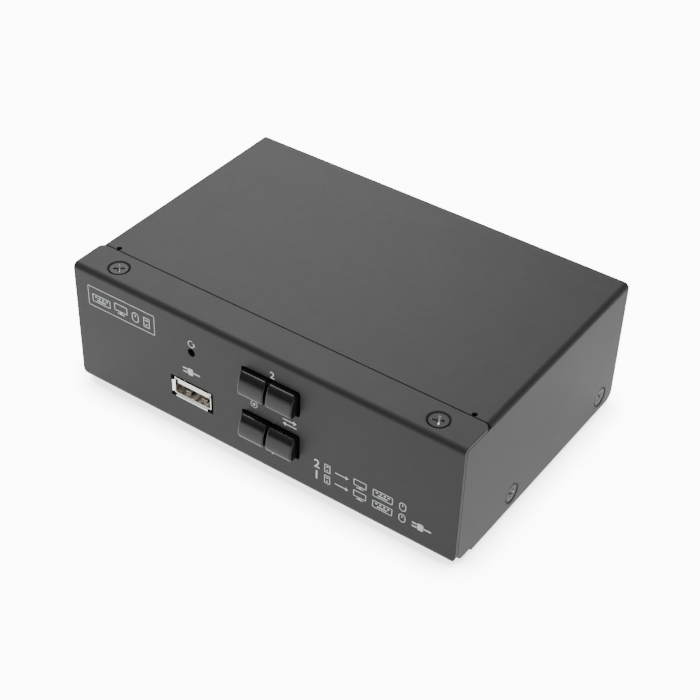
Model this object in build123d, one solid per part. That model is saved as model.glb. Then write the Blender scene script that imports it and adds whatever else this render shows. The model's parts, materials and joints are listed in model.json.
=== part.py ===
# Two-port desktop KVM switch in a folded sheet-steel case.
# Millimetres. +X is right, the front panel faces -Y, +Z is up.
# The origin is on the table, under the middle of the whole object.
# The whole object is the case and the buttons that stand out of it.

import os

from build123d import *

# ---- overall sizes ----
case_width = 130.0
case_depth = 87.0
case_height = 42.4  # top of the case above the table

# ---- sheet metal ----
sheet = 1.0
fold_radius = 1.7  # outside radius of every fold
seat_gap = 0.2  # gap between one folded sheet and the next
foot_height = 2.0
foot_radius = 5.0
foot_inset_x = 14.0
foot_inset_y = 13.0
cover_drop = 1.2  # the cover's sides hang this far below the base
flange_depth = 12.1  # front flange, from the front panel to the seam
flange_corner = 2.0  # rear corners of the front flange
seam_gap = 0.3
panel_corner = 3.0  # lower corners of the front panel, and of the cover's sides behind it
rear_recess = 0.6  # rear panel set in from the case's rear edge
rear_flange = 6.0
base_lip = 9.0  # height of the base's side lips
relief_notch = 1.5
cover_lip_inset = 5.8  # end of the cover's joggled lip, from the side
cover_lip_reach = 9.0  # how far the joggled lip runs under the flange
cover_relief = 0.75  # radius of the relief hole at each end of that lip
raised_front = 8.5  # front stretch of the cover's side that ends level with the base
cover_corner = 3.0  # lower rear corners of the cover

# ---- M3 countersunk screws ----
screw_radius = 1.45
screw_head_radius = 2.9
screw_length = 6.0
thread_clearance = 0.05
sink_margin = 0.45  # countersink mouth beyond the screw head
flange_screw_inset = 11.7  # from the side of the case
flange_screw_setback = 6.0  # behind the front panel
side_screw_height = 6.0  # above the table
side_screw_setbacks = (28.7, 79.0)  # behind the front panel
recess_width = 0.75
recess_depth = 1.25

# ---- select buttons ----
button_x = 4.7
row_drop = 11.55  # upper row of controls, below the top of the case
row_pitch = 15.2
cap_width = 18.2
cap_height = 7.4
cap_reach = 3.3  # how far the cap stands out of the panel
cap_crown = 10.0  # radius of the cap's bulging face
cap_crown_drop = 1.0  # the bulge's highest line below the cap's middle
cap_wall = 1.2
cap_groove = 0.7
cap_groove_floor = 0.8  # floor of the groove, in front of the panel
cap_gap_x = 0.7
cap_gap_z = 0.6
cap_stop = 0.9  # retaining rim beyond the panel's opening
cap_stop_gap = 0.3
cap_travel = 0.8
stem_width = 3.4

# ---- push switches behind the caps and the reset hole ----
switch_size = 6.2
switch_height = 3.4
plunger_radius = 1.7
plunger_gap = 0.1
plunger_reach = 1.0
touch_gap = 0.05
reset_x = -22.6
reset_drop = 0.15  # below the upper row
reset_hole_radius = 1.3
reset_reach = 3.5
reset_travel = 0.5
led_radius = 1.5
led_length = 5.9
led_rim = 0.35
led_gap = 0.2  # between a lamp and the switch beside it

# ---- front socket for a peripheral ----
usb_x = -23.05
usb_cut_gap_x = 0.5  # panel opening beyond the socket's flared lips
usb_cut_gap_z = 0.35
usb_width = 13.1
usb_height = 5.7
usb_wall = 0.3
usb_flare = 0.5
usb_tongue_width = 11.1
usb_tongue_height = 1.84
usb_tongue_setback = 0.3
usb_tongue_rise = 1.2  # middle of the tongue above the socket's middle
usb_base_depth = 3.0
tab_width = 1.8  # sprung tabs in the shell's lower wall
tab_length = 4.2
tab_rise = 0.5
tab_offset = 2.9
tab_setback = 1.6
contact_setback = 1.5  # behind the tongue's tip
contact_width = 1.0
contact_height = 0.25
contact_offsets = (-3.5, -1.0, 1.0, 3.5)

# ---- boards ----
board_thick = 1.6
front_board_setback = 11.0  # front panel's face to the front board's face
front_board_inset = 15.0  # from the side of the case
front_board_rise = 2.0  # above the base
front_board_drop = 4.4  # below the top of the case
bracket_inset = 8.0  # from the front board's end
bracket_width = 9.0
bracket_height = 14.0
bracket_foot = 9.0
bracket_screw_height = 8.5
board_lift = 5.0  # standoff height
board_side_gap = 2.8  # between the main board and the base's lips
board_margin = 0.4  # between the brackets behind the front board and the main board
board_rear_gap = 1.0  # main board's rear edge to the rear panel
standoff_inset = 4.5
standoff_setback = 21.0  # rear standoffs, from the board's rear edge
standoff_width = 5.0
board_screw_radius = 1.25
board_screw_head = 2.7
board_screw_head_height = 1.8
link_pins = 10
link_pitch = 2.54
link_pin = 0.64
link_height = 2.5

# ---- rear connectors, from +X to -X ----
rear_gap = 2.6
rear_proud = 0.5  # connector faces stand out of the rear panel
rear_clearance = 0.3
shell_wall = 0.4
dc_width = 9.0
dc_height = 11.0
dc_depth = 14.0
dc_bore_radius = 2.9
dc_pin_radius = 1.0
audio_width = 7.0
audio_height = 14.0
audio_depth = 12.0
audio_bore_radius = 1.8
audio_bushing_radius = 2.9
audio_rows = (3.7, 10.7)
video_width = 15.2
video_height = 6.2
video_depth = 11.5
video_chamfer = 1.7
console_gap = 0.15  # around the lips of each stacked socket
console_side_gap = 0.25  # beside each stacked socket
console_bar = 0.8  # bar between the two sockets
console_depth = 17.5
host_width = 12.2
host_height = 11.0
host_depth = 16.5
host_hole_width = 8.5
host_hole_height = 7.8
host_hole_depth = 9.0
host_tongue_width = 5.6
host_tongue_height = 3.2
host_corner = 1.6

# ---- parts on the main board: places are x, and the distance behind the board's front edge ----
chip_size = 14.0
chip_height = 1.2
chip_place = (-12.0, 25.5)
sink_size = 24.0
sink_height = 11.0
sink_base = 2.5
sink_fins = 7
sink_fin = 1.2
pad_thick = 0.5
hub_chip_size = 7.0
hub_chip_height = 0.9
hub_chip_places = ((18.0, 34.0), (30.0, 21.5), (-38.0, 34.0))
crystal_places = ((18.0, 23.5), (-38.0, 23.5))
crystal_length = 11.0
crystal_width = 4.5
crystal_height = 3.5
capacitor_radius = 3.15
capacitor_height = 7.7
capacitor_places = ((44.0, 36.0), (44.0, 28.0), (44.0, 20.0), (-50.0, 28.0))
inductor_size = 7.0
inductor_height = 4.5
inductor_place = (44.0, 11.0)

# ---- places worked out from the sizes above ----
front_y = -(case_depth - cap_reach) / 2
rear_y = front_y + case_depth
side_x = case_width / 2
base_z = foot_height
cover_z = foot_height - cover_drop
seam_y = front_y + flange_depth
inner_x = side_x - sheet - seat_gap
rear_panel_y = rear_y - rear_recess
under_top = case_height - sheet - seat_gap
floor_z = base_z + sheet
fold_inside = fold_radius - sheet
high_row_z = case_height - row_drop
low_row_z = high_row_z - row_pitch
row_heights = (low_row_z, high_row_z)
flange_screw_x = side_x - flange_screw_inset
flange_screw_places = [(side * flange_screw_x, front_y + flange_screw_setback) for side in (-1, 1)]
side_screw_places = [(side, front_y + setback) for side in (-1, 1) for setback in side_screw_setbacks]
panel_back = front_y + sheet
reset_z = high_row_z - reset_drop
board_face = front_y + front_board_setback
board_back = board_face + board_thick
main_low = floor_z + board_lift
main_top = main_low + board_thick
main_front = board_back + sheet + board_margin
main_rear = rear_panel_y - sheet - board_rear_gap
main_half = inner_x - sheet - board_side_gap
front_half = side_x - front_board_inset
bracket_x = front_half - bracket_inset
bracket_screw_z = floor_z + bracket_screw_height
standoff_places = [
    (side * (main_half - standoff_inset), y)
    for side in (-1, 1)
    for y in (main_front + standoff_inset, main_rear - standoff_setback)
]
connector_face = rear_panel_y + rear_proud
console_cell = usb_height + 2 * (usb_flare + console_gap)
console_width = usb_width + 2 * (shell_wall + console_side_gap)
console_height = 2 * (console_cell + shell_wall) + console_bar
console_rows = (shell_wall + console_cell / 2, console_height - shell_wall - console_cell / 2)
cap_back = panel_back + cap_stop_gap
plunger_face = board_face - switch_height - plunger_reach
chip_x = chip_place[0]
chip_y = main_front + chip_place[1]


def block(x0, x1, y0, y1, z0, z1):
    """A box between two corners."""
    size = (abs(x1 - x0), abs(y1 - y0), abs(z1 - z0))
    middle = ((x0 + x1) / 2, (y0 + y1) / 2, (z0 + z1) / 2)
    return Pos(*middle) * Box(*size)


def centred(x, z, width, height, y0, y1):
    """A box about (x, z), from y0 to y1."""
    return block(x - width / 2, x + width / 2, y0, y1, z - height / 2, z + height / 2)


def rod_y(x, z, radius, y0, y1):
    """A round bar along Y."""
    return Pos(x, (y0 + y1) / 2, z) * Rot(90, 0, 0) * Cylinder(radius, y1 - y0)


def rod_x(y, z, radius, x0, x1):
    """A round bar along X."""
    return Pos((x0 + x1) / 2, y, z) * Rot(0, 90, 0) * Cylinder(radius, abs(x1 - x0))


def rod_z(x, y, radius, z0, z1):
    """A round bar along Z."""
    return Pos(x, y, (z0 + z1) / 2) * Cylinder(radius, z1 - z0)


def folded_outline(corners, thickness, radius):
    """Section of a folded strip. The metal lies to the left of the line through the corners."""
    points = [Vector(*corner) for corner in corners]
    steps = [(b - a).normalized() for a, b in zip(points, points[1:])]
    normals = [Vector(-step.Y, step.X) for step in steps]
    inner = [points[0] + normals[0] * thickness]
    for corner, before, after in zip(points[1:], normals, normals[1:]):
        inner.append(corner + (before + after) * thickness)
    inner.append(points[-1] + normals[-1] * thickness)
    outline = make_face(Polyline(*points, *reversed(inner), close=True))
    for bends, bend_radius in ((points[1:-1], radius), (inner[1:-1], radius - thickness)):
        for bend in bends:
            nearest = outline.vertices().sort_by_distance(bend)[0]
            outline = fillet(nearest, bend_radius)
    return outline


def folded_along_x(corners, x0, x1):
    """A strip folded in the YZ plane and drawn out along X."""
    section = Plane.YZ * folded_outline(corners, sheet, fold_radius)
    return Pos(x0, 0, 0) * extrude(section, x1 - x0)


def folded_along_y(corners, y0, y1):
    """A strip folded in the XZ plane and drawn out along Y."""
    section = Plane.XZ * folded_outline(corners, sheet, fold_radius)
    return Pos(0, y1, 0) * extrude(section, y1 - y0)


def countersunk_hole(radius, depth):
    """Cutter for a countersunk hole whose mouth is at z = 0 and which runs down -Z."""
    mouth = screw_head_radius + sink_margin
    cone = Pos(0, 0, -mouth / 2) * Cone(0.001, mouth, mouth)
    return cone + Pos(0, 0, -depth / 2) * Cylinder(radius, depth)


def countersunk_screw():
    """M3 screw: head at z = 0, shank down -Z, with a cross recess."""
    head_height = screw_head_radius - screw_radius
    rim = 0.15
    head = Pos(0, 0, -rim / 2) * Cylinder(screw_head_radius, rim)
    cone = Pos(0, 0, -rim - head_height / 2) * Cone(screw_radius, screw_head_radius, head_height)
    shank_length = screw_length - 0.5
    shank = Pos(0, 0, -shank_length / 2 - 0.2) * Cylinder(screw_radius, shank_length - 0.4)
    tip = Pos(0, 0, -screw_length + 0.3) * Cone(screw_radius - 0.4, screw_radius, 0.6)
    screw = head + cone + shank + tip
    reach, root = screw_head_radius * 0.62, screw_head_radius * 0.3
    corners = [(-reach, 0.1), (reach, 0.1), (root, -recess_depth), (-root, -recess_depth)]
    wedge = make_face(Polyline(*corners, close=True))
    slot = extrude(Plane.XZ * wedge, recess_width / 2, both=True)
    cross = slot + Rot(0, 0, 90) * slot
    return screw - cross


def cover_side_frames():
    """Where the side screws sit: a place and a turn that points the head outwards."""
    return [
        Pos(side * side_x, y, side_screw_height) * Rot(0, side * 90, 0) for side, y in side_screw_places
    ]


def flange_frames():
    """Where the flange screws sit."""
    return [Pos(x, y, case_height) for x, y in flange_screw_places]


def rear_slots():
    """Middle x of each rear connector, laid out side by side."""
    names = ("dc", "audio", "video_out", "console", "host_1", "video_1", "host_2", "video_2")
    width_of = {
        "dc": dc_width,
        "audio": audio_width,
        "video_out": video_width,
        "console": console_width,
        "host_1": host_width,
        "video_1": video_width,
        "host_2": host_width,
        "video_2": video_width,
    }
    total = sum(width_of.values()) + rear_gap * (len(names) - 1)
    edge = total / 2
    places = {}
    for name in names:
        places[name] = edge - width_of[name] / 2
        edge -= width_of[name] + rear_gap
    return places


rear_x = rear_slots()
video_names = ("video_out", "video_1", "video_2")
host_names = ("host_1", "host_2")


def front_openings():
    """Cutters for the front panel: socket, reset hole and the two button windows."""
    low, high = front_y - 1, panel_back + 1
    opening_width = usb_width + 2 * (usb_flare + usb_cut_gap_x)
    opening_height = usb_height + 2 * (usb_flare + usb_cut_gap_z)
    cutters = [centred(usb_x, low_row_z, opening_width, opening_height, low, high)]
    cutters.append(rod_y(reset_x, reset_z, reset_hole_radius, low, high))
    for z in row_heights:
        window = centred(button_x, z, cap_width + 2 * cap_gap_x, cap_height + 2 * cap_gap_z, low, high)
        cutters.append(fillet(window.edges().filter_by(Axis.Y), 0.8))
    return cutters


def video_outline(grow=0.0):
    """Face of a video socket: a rectangle with its two lower corners cut off."""
    half, low, high = video_width / 2 + grow, -grow, video_height + grow
    cut = video_chamfer
    points = [(-half, low + cut), (-half, high), (half, high), (half, low + cut)]
    points += [(half - cut, low), (cut - half, low)]
    return make_face(Polyline(*points, close=True))


def along_rear(outline, x, y0, y1):
    """Draw a connector's face out from y0 to y1, standing on the main board at x."""
    solid = extrude(Plane.XZ * outline, y1 - y0)
    return Pos(x, y1, main_top) * solid


def host_outline(width, height, grow=0.0):
    """Square socket with its two upper corners cut off."""
    half, low, high = width / 2 + grow, -grow, height + grow
    cut = host_corner
    points = [(-half, low), (half, low), (half, high - cut)]
    points += [(half - cut, high), (cut - half, high), (-half, high - cut)]
    return make_face(Polyline(*points, close=True))


def rear_openings():
    """Cutters for the rear panel, one for each connector."""
    low, high = rear_panel_y - sheet - 1, rear_panel_y + 1
    grow = rear_clearance
    cutters = [along_rear(video_outline(grow), rear_x[name], low, high) for name in video_names]
    host_window = host_outline(host_width, host_height, grow)
    cutters += [along_rear(host_window, rear_x[name], low, high) for name in host_names]
    cutters.append(
        centred(
            rear_x["console"],
            main_top + console_height / 2,
            console_width + 2 * grow,
            console_height + 2 * grow,
            low,
            high,
        )
    )
    for z in audio_rows:
        cutters.append(rod_y(rear_x["audio"], main_top + z, audio_bushing_radius + grow, low, high))
    dc_middle = main_top + dc_height / 2
    cutters.append(centred(rear_x["dc"], dc_middle, dc_width + 2 * grow, dc_height + 2 * grow, low, high))
    return cutters


def base_tray():
    """Bottom, front panel, front flange, rear panel and side lips, folded from one sheet."""
    line = [
        (rear_panel_y - rear_flange, under_top),
        (rear_panel_y, under_top),
        (rear_panel_y, base_z),
        (front_y, base_z),
        (front_y, case_height),
        (seam_y, case_height),
    ]
    line.reverse()
    tray = folded_along_x(line, -inner_x, inner_x)
    front = [(seam_y, case_height), (front_y, case_height), (front_y, base_z)]
    for side in (-1, 1):
        tray += folded_along_x(front, min(side * inner_x, side * side_x), max(side * inner_x, side * side_x))
        corner_x, corner_z = side * (side_x - panel_corner), base_z + panel_corner
        waste = block(corner_x, side * (side_x + 1), front_y - 1, front_y + fold_radius, base_z - 1, corner_z)
        tray -= waste - rod_y(corner_x, corner_z, panel_corner, front_y - 2, front_y + fold_radius + 1)
        bend_x, bend_z = inner_x - fold_inside, under_top - fold_inside
        clear = [(inner_x + 1, under_top + 1), (inner_x + 1, bend_z), (inner_x, bend_z)]
        clear += [(bend_x, under_top), (bend_x, under_top + 1)]
        trim = make_face(Polyline(*[(side * x, z) for x, z in clear], close=True))
        tray -= Pos(0, rear_y, 0) * extrude(Plane.XZ * trim, 2 * rear_flange, both=True)
    lip_front = front_y + fold_radius + relief_notch
    lip_rear = rear_panel_y - fold_radius - relief_notch
    for side in (-1, 1):
        outer, inner = side * inner_x, side * (inner_x - sheet)
        tray += block(outer, inner, lip_front, lip_rear, base_z, base_z + base_lip)
        for y0, y1 in ((lip_front - relief_notch, lip_front), (lip_rear, lip_rear + relief_notch)):
            tray -= block(outer + side, side * (inner_x - fold_radius - 0.5), y0, y1, base_z - 1, floor_z + 1)
        bend_y = (lip_front + lip_rear) / 2
        outside = tray.edges().filter_by(Axis.Y).sort_by_distance(Vector(outer, bend_y, base_z))[0]
        tray = fillet(outside, fold_radius)
        inside = tray.edges().filter_by(Axis.Y).sort_by_distance(Vector(inner, bend_y, floor_z))[0]
        tray = fillet(inside, fold_inside)
    for side in (-1, 1):
        end_x0, end_x1 = side * (inner_x - 0.01), side * (side_x + 1)
        bend_y, bend_z = front_y + fold_radius, base_z + fold_radius
        waste = block(end_x0, end_x1, front_y - 1, bend_y, base_z - 1, bend_z)
        tray -= waste - rod_x(bend_y, bend_z, fold_radius, end_x0 - side, end_x1 + side)
        corner_at = Vector(side * side_x, seam_y, case_height)
        corner = tray.edges().filter_by(Axis.Z).sort_by_distance(corner_at)[0]
        tray = fillet(corner, flange_corner)
    for cutter in front_openings() + rear_openings():
        tray -= cutter
    for frame in flange_frames():
        tray -= frame * countersunk_hole(screw_radius + thread_clearance, 2 * sheet)
    for frame in cover_side_frames():
        tray -= frame * Pos(0, 0, -sheet - seat_gap) * Cylinder(screw_radius + thread_clearance, 6 * sheet)
        tray -= frame * countersunk_hole(screw_radius, sheet)
    return tray


def top_cover():
    """Top and two sides, folded from one sheet, with a joggled lip that goes under the flange."""
    line = [(side_x, cover_z), (side_x, case_height), (-side_x, case_height), (-side_x, cover_z)]
    cover = folded_along_y(line, seam_y + seam_gap, rear_y)
    side_front = panel_back + seat_gap
    for side in (-1, 1):
        outer, inner = side * side_x, side * (side_x - sheet)
        wing = block(outer, inner, side_front, seam_y + seam_gap + 1, cover_z, under_top)
        corner = wing.edges().filter_by(Axis.X).sort_by_distance(Vector(outer, side_front, under_top))[0]
        cover += fillet(corner, fold_inside)
        step = block(outer + side, inner - side, side_front - 1, front_y + raised_front, cover_z - 1, base_z)
        rise_at = Vector(outer, front_y + raised_front, base_z)
        rise = step.edges().filter_by(Axis.X).sort_by_distance(rise_at)[0]
        cover -= fillet(rise, cover_drop * 0.5)
        toe_y, toe_z = side_front + panel_corner, base_z + panel_corner
        toe = block(outer + side, inner - side, side_front - 1, toe_y, base_z - 1, toe_z)
        toe -= rod_x(toe_y, toe_z, panel_corner, outer + 2 * side, inner - 2 * side)
        cover -= toe
    rear_low = cover.edges().filter_by(Axis.X).filter_by(lambda edge: edge.center().Z < cover_z + 0.01)
    cover = fillet(rear_low.filter_by(lambda edge: edge.center().Y > rear_y - 0.01), cover_corner)
    lip_top = case_height - sheet - 0.1
    lip_end = side_x - cover_lip_inset
    start = seam_y + seam_gap
    joggle = [
        (start - cover_lip_reach, lip_top),
        (start, lip_top),
        (start, case_height),
        (start + 2.5, case_height),
        (start + 2.5, case_height - sheet),
        (start + 1.4, lip_top - sheet),
        (start - cover_lip_reach, lip_top - sheet),
    ]
    lip = extrude(Plane.YZ * make_face(Polyline(*joggle, close=True)), lip_end, both=True)
    cover += lip
    for side in (-1, 1):
        x = side * (lip_end + cover_relief * 0.4)
        cut_low = lip_top - 2 * sheet
        cover -= rod_z(x, start + cover_relief, cover_relief, cut_low, case_height + 1)
        cover -= block(x - 0.3, x + 0.3, start - 1, start + cover_relief, cut_low, case_height + 1)
    for frame in flange_frames():
        cover -= frame * countersunk_hole(screw_radius + thread_clearance, 6 * sheet)
    for frame in cover_side_frames():
        cover -= frame * countersunk_hole(screw_radius + thread_clearance, 3 * sheet)
    return cover


def flange_screws():
    return Compound([frame * Pos(0, 0, -0.15) * countersunk_screw() for frame in flange_frames()])


def side_screws():
    return Compound([frame * Pos(0, 0, -0.15) * countersunk_screw() for frame in cover_side_frames()])


def rubber_feet():
    """Four round stick-on feet with a rounded lower rim."""
    feet = []
    for x in (foot_inset_x - side_x, side_x - foot_inset_x):
        for y in (front_y + foot_inset_y, rear_y - foot_inset_y):
            foot = rod_z(x, y, foot_radius, 0, foot_height)
            rim = foot.edges().filter_by(GeomType.CIRCLE).sort_by(Axis.Z)[0]
            feet.append(fillet(rim, 0.6))
    return Compound(feet)


def cap_lobe(width):
    """One lobe of a select button: a bar with a bulging face, about (0, panel face, 0)."""
    top, low = cap_height / 2, -cap_height / 2
    sag_top = cap_crown - (cap_crown**2 - (top + cap_crown_drop) ** 2) ** 0.5
    sag_low = cap_crown - (cap_crown**2 - (low + cap_crown_drop) ** 2) ** 0.5
    back = cap_back + sheet - front_y
    face_top = (sag_top - cap_reach, top)
    face_low = (sag_low - cap_reach, low)
    outline = ThreePointArc(face_top, (-cap_reach, -cap_crown_drop), face_low)
    outline += Polyline(face_low, (back, low), (back, top), face_top)
    bar = extrude(Plane.YZ * make_face(outline), width / 2, both=True)
    low_edge = bar.edges().filter_by(Axis.X).sort_by_distance(Vector(0, face_low[0], low))[0]
    bar = fillet(low_edge, 1.0)
    top_edge = bar.edges().filter_by(Axis.X).sort_by_distance(Vector(0, face_top[0], top))[0]
    bar = fillet(top_edge, 0.3)
    ends = [
        edge
        for edge in bar.edges()
        if abs(abs(edge.center().X) - width / 2) < 0.01 and edge.center().Y < -0.9 and edge.length > 4
    ]
    return fillet(ends, 0.35) if ends else bar


def select_button(z):
    """Push-button cap: two lobes, a retaining rim behind the panel and a stem to the switch."""
    lobe_width = (cap_width - cap_groove) / 2
    lobe_x = (cap_width - lobe_width) / 2
    lobe = cap_lobe(lobe_width)
    at_front = Pos(button_x, front_y, z)
    cap = at_front * (Pos(-lobe_x, 0, 0) * lobe + Pos(lobe_x, 0, 0) * lobe)
    bridge_height = cap_height - 0.8
    cap += centred(button_x, z, 3 * cap_groove, bridge_height, front_y - cap_groove_floor, cap_back + sheet)
    rim_width = cap_width + 2 * (cap_gap_x + cap_stop)
    rim_height = cap_height + 2 * (cap_gap_z + cap_stop)
    cap += centred(button_x, z, rim_width, rim_height, cap_back, cap_back + sheet)
    cap += centred(button_x, z, stem_width, stem_width, cap_back, plunger_face - touch_gap)
    hollow_width = lobe_width - cap_wall - stem_width / 2 - 0.4
    hollow_x = cap_width / 2 - cap_wall - hollow_width / 2
    for side in (-1, 1):
        cap -= centred(
            button_x + side * hollow_x,
            z,
            hollow_width,
            cap_height - 2 * cap_wall,
            front_y - cap_reach + 1.2 + cap_wall,
            cap_back + 2 * sheet,
        )
    return cap


def push_switch(x, z):
    """Body of a push switch on the front board, with a blind bore for its plunger."""
    face = board_face - switch_height
    body = centred(x, z, switch_size, switch_size, face, board_face)
    body = fillet(body.edges().filter_by(Axis.Y), 0.4)
    body -= rod_y(x, z, plunger_radius + plunger_gap, face - 1, board_face - 0.5)
    for step_x in (-2.4, 2.4):
        for step_z in (-2.4, 2.4):
            body += rod_y(x + step_x, z + step_z, 0.4, face - 0.2, face)
    return body


def plunger(x, z, reach, travel):
    """Round plunger that stands out of its switch body by reach."""
    face = board_face - switch_height
    pin = rod_y(x, z, plunger_radius, face - reach, board_face - 0.5 - travel - plunger_gap)
    rim = pin.edges().filter_by(GeomType.CIRCLE).sort_by(Axis.Y)[0]
    return fillet(rim, 0.25)


def status_leds():
    """Two 3 mm lamps behind each button, one for each lobe."""
    lamps = []
    for z in row_heights:
        for side in (-1, 1):
            x = button_x + side * (switch_size / 2 + led_gap + led_rim + led_radius)
            lamp = rod_y(x, z, led_radius, board_face - led_length + led_radius, board_face)
            lamp += Pos(x, board_face - led_length + led_radius, z) * Sphere(led_radius)
            lamp += rod_y(x, z, led_radius + led_rim, board_face - 1.0, board_face)
            lamps.append(lamp)
    return Compound(lamps)


def front_board():
    """Upright circuit board behind the front panel."""
    low, high = floor_z + front_board_rise, case_height - front_board_drop
    board = block(-front_half, front_half, board_face, board_back, low, high)
    for side in (-1, 1):
        hole_radius = board_screw_radius + 0.2
        board -= rod_y(side * bracket_x, bracket_screw_z, hole_radius, board_face - 1, board_back + 1)
    return board


def board_brackets():
    """Two angle brackets that hold the front board upright on the base."""
    brackets = []
    back = board_back + touch_gap
    for side in (-1, 1):
        x0, x1 = side * bracket_x - bracket_width / 2, side * bracket_x + bracket_width / 2
        heel = back + sheet
        line = [(back - bracket_foot, floor_z), (heel, floor_z), (heel, floor_z + bracket_height)]
        bracket = folded_along_x(line, x0, x1)
        hole_start, hole_end = back - 1, back + 2 * sheet
        hole_radius = board_screw_radius + thread_clearance
        bracket -= rod_y(side * bracket_x, bracket_screw_z, hole_radius, hole_start, hole_end)
        brackets.append(bracket)
    return Compound(brackets)


def bracket_screws():
    """Pan-head screws through the front board into the brackets."""
    screws = []
    for side in (-1, 1):
        x = side * bracket_x
        head = rod_y(x, bracket_screw_z, board_screw_head, board_face - board_screw_head_height, board_face)
        rim = head.edges().filter_by(GeomType.CIRCLE).sort_by(Axis.Y)[0]
        head = fillet(rim, 0.7)
        screw = head + rod_y(x, bracket_screw_z, board_screw_radius, board_face, board_back + sheet + 0.5)
        screws.append(screw)
    return Compound(screws)


def link_rows():
    """X of each pin in the connector between the two boards."""
    return [(index - (link_pins - 1) / 2) * link_pitch for index in range(link_pins)]


def link_header():
    """Pin header on the back of the front board."""
    half = link_pins * link_pitch / 2
    z = main_top + link_height
    header = block(-half, half, board_back, board_back + 2.0, z - link_height / 2, z + link_height / 2)
    for x in link_rows():
        header += centred(x, z, link_pin, link_pin, board_back + 1.0, board_back + 9.0)
    return header


def link_socket():
    """Socket on the main board that the header's pins go into."""
    half = link_pins * link_pitch / 2
    z = main_top + link_height
    socket = block(-half, half, board_back + 2.1, board_back + 10.6, main_top, main_top + 2 * link_height)
    for x in link_rows():
        socket -= centred(x, z, link_pin + 0.3, link_pin + 0.3, board_back + 2.0, board_back + 9.4)
    return socket


def main_board():
    """Flat circuit board on four standoffs."""
    board = block(-main_half, main_half, main_front, main_rear, main_low, main_top)
    board = fillet(board.edges().filter_by(Axis.Z), 1.0)
    for x, y in standoff_places:
        board -= rod_z(x, y, board_screw_radius + 0.35, main_low - 1, main_top + 1)
    return board


def board_standoffs():
    """Hexagonal threaded standoffs pressed on to the base."""
    posts = []
    for x, y in standoff_places:
        hexagon = RegularPolygon(standoff_width / 2, 6, major_radius=False)
        post = Pos(x, y, floor_z) * extrude(hexagon, board_lift)
        post -= rod_z(x, y, board_screw_radius + thread_clearance, floor_z + 0.6, main_low + 1)
        posts.append(post)
    return Compound(posts)


def board_screws():
    """Pan-head screws that hold the main board."""
    screws = []
    for x, y in standoff_places:
        head = rod_z(x, y, board_screw_head, main_top, main_top + board_screw_head_height)
        rim = head.edges().filter_by(GeomType.CIRCLE).sort_by(Axis.Z)[-1]
        head = fillet(rim, 0.7)
        slot = block(x - 1.6, x + 1.6, y - 0.35, y + 0.35, main_top + 0.9, main_top + 3)
        cross = slot + block(x - 0.35, x + 0.35, y - 1.6, y + 1.6, main_top + 0.9, main_top + 3)
        shank_low = floor_z + 1.4
        screws.append(head - cross + rod_z(x, y, board_screw_radius, shank_low, main_top))
    return Compound(screws)


def socket_shell(x, z, y_mouth, y_back, facing):
    """Sheet shell of a flat peripheral socket with flared lips and sprung tabs. facing is -1 or 1 in Y."""
    low, high = min(y_mouth, y_back), max(y_mouth, y_back)
    shell = centred(x, z, usb_width, usb_height, low, high)
    shell -= centred(x, z, usb_width - 2 * usb_wall, usb_height - 2 * usb_wall, low - 1, high + 1)
    flare = usb_flare
    for side in (-1, 1):
        flap = [(0, 0), (usb_wall, 0), (usb_wall + flare, 1.2 * flare), (flare, 1.2 * flare)]
        tall = extrude(Plane.XY * make_face(Polyline(*flap, close=True)), (usb_height - 1.6) / 2, both=True)
        tall = tall if side > 0 else tall.mirror(Plane.YZ)
        wide = extrude(Plane.ZY * make_face(Polyline(*flap, close=True)), (usb_width - 1.8) / 2, both=True)
        wide = wide if side > 0 else wide.mirror(Plane.XY)
        if facing < 0:
            tall = tall.mirror(Plane.XZ)
            wide = wide.mirror(Plane.XZ)
        shell += Pos(x + side * (usb_width / 2 - usb_wall), y_mouth - 0.02 * facing, z) * tall
        shell += Pos(x, y_mouth - 0.02 * facing, z + side * (usb_height / 2 - usb_wall)) * wide
    wall_low = z - usb_height / 2
    near = y_mouth - facing * tab_setback
    far = near - facing * tab_length
    rise = wall_low + usb_wall + tab_rise
    leaf = [(far - facing, wall_low), (far, wall_low), (near, rise - usb_wall)]
    leaf += [(near, rise), (far, wall_low + usb_wall), (far - facing, wall_low + usb_wall)]
    leaf_face = Plane.YZ * make_face(Polyline(*leaf, close=True))
    for offset in (-tab_offset, tab_offset):
        tab_x = x + offset
        window = centred(tab_x, wall_low, tab_width + 0.6, 3 * usb_wall, min(near, far), max(near, far))
        shell -= window
        shell += Pos(tab_x, 0, 0) * extrude(leaf_face, tab_width / 2, both=True)
    return shell


def socket_tongue(x, z, y_mouth, y_back, facing):
    """Insulator with the tongue, inside a socket shell."""
    fit = 0.05
    base_front = y_back + facing * usb_base_depth
    width, height = usb_width - 2 * (usb_wall + fit), usb_height - 2 * (usb_wall + fit)
    tongue = centred(x, z, width, height, min(y_back, base_front), max(y_back, base_front))
    tip = y_mouth - facing * usb_tongue_setback
    rise = z + usb_tongue_rise
    tongue += centred(x, rise, usb_tongue_width, usb_tongue_height, min(y_back, tip), max(y_back, tip))
    nose = tongue.edges().filter_by(Axis.X).sort_by_distance(Vector(x, tip, rise - usb_tongue_height / 2))[0]
    return chamfer(nose, 0.5)


def socket_contacts(x, z, y_mouth, y_back, facing):
    """Four spring strips under the tongue."""
    top = z + usb_tongue_rise - usb_tongue_height / 2
    tip = y_mouth - facing * (usb_tongue_setback + contact_setback)
    root = y_back + facing * usb_base_depth
    strips = []
    for offset in contact_offsets:
        strips.append(
            centred(
                x + offset,
                top - contact_height / 2,
                contact_width,
                contact_height,
                min(root, tip),
                max(root, tip),
            )
        )
    return strips


front_socket = (usb_x, low_row_z, front_y - 0.25 + 1.2 * usb_flare, board_face, -1)


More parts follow.
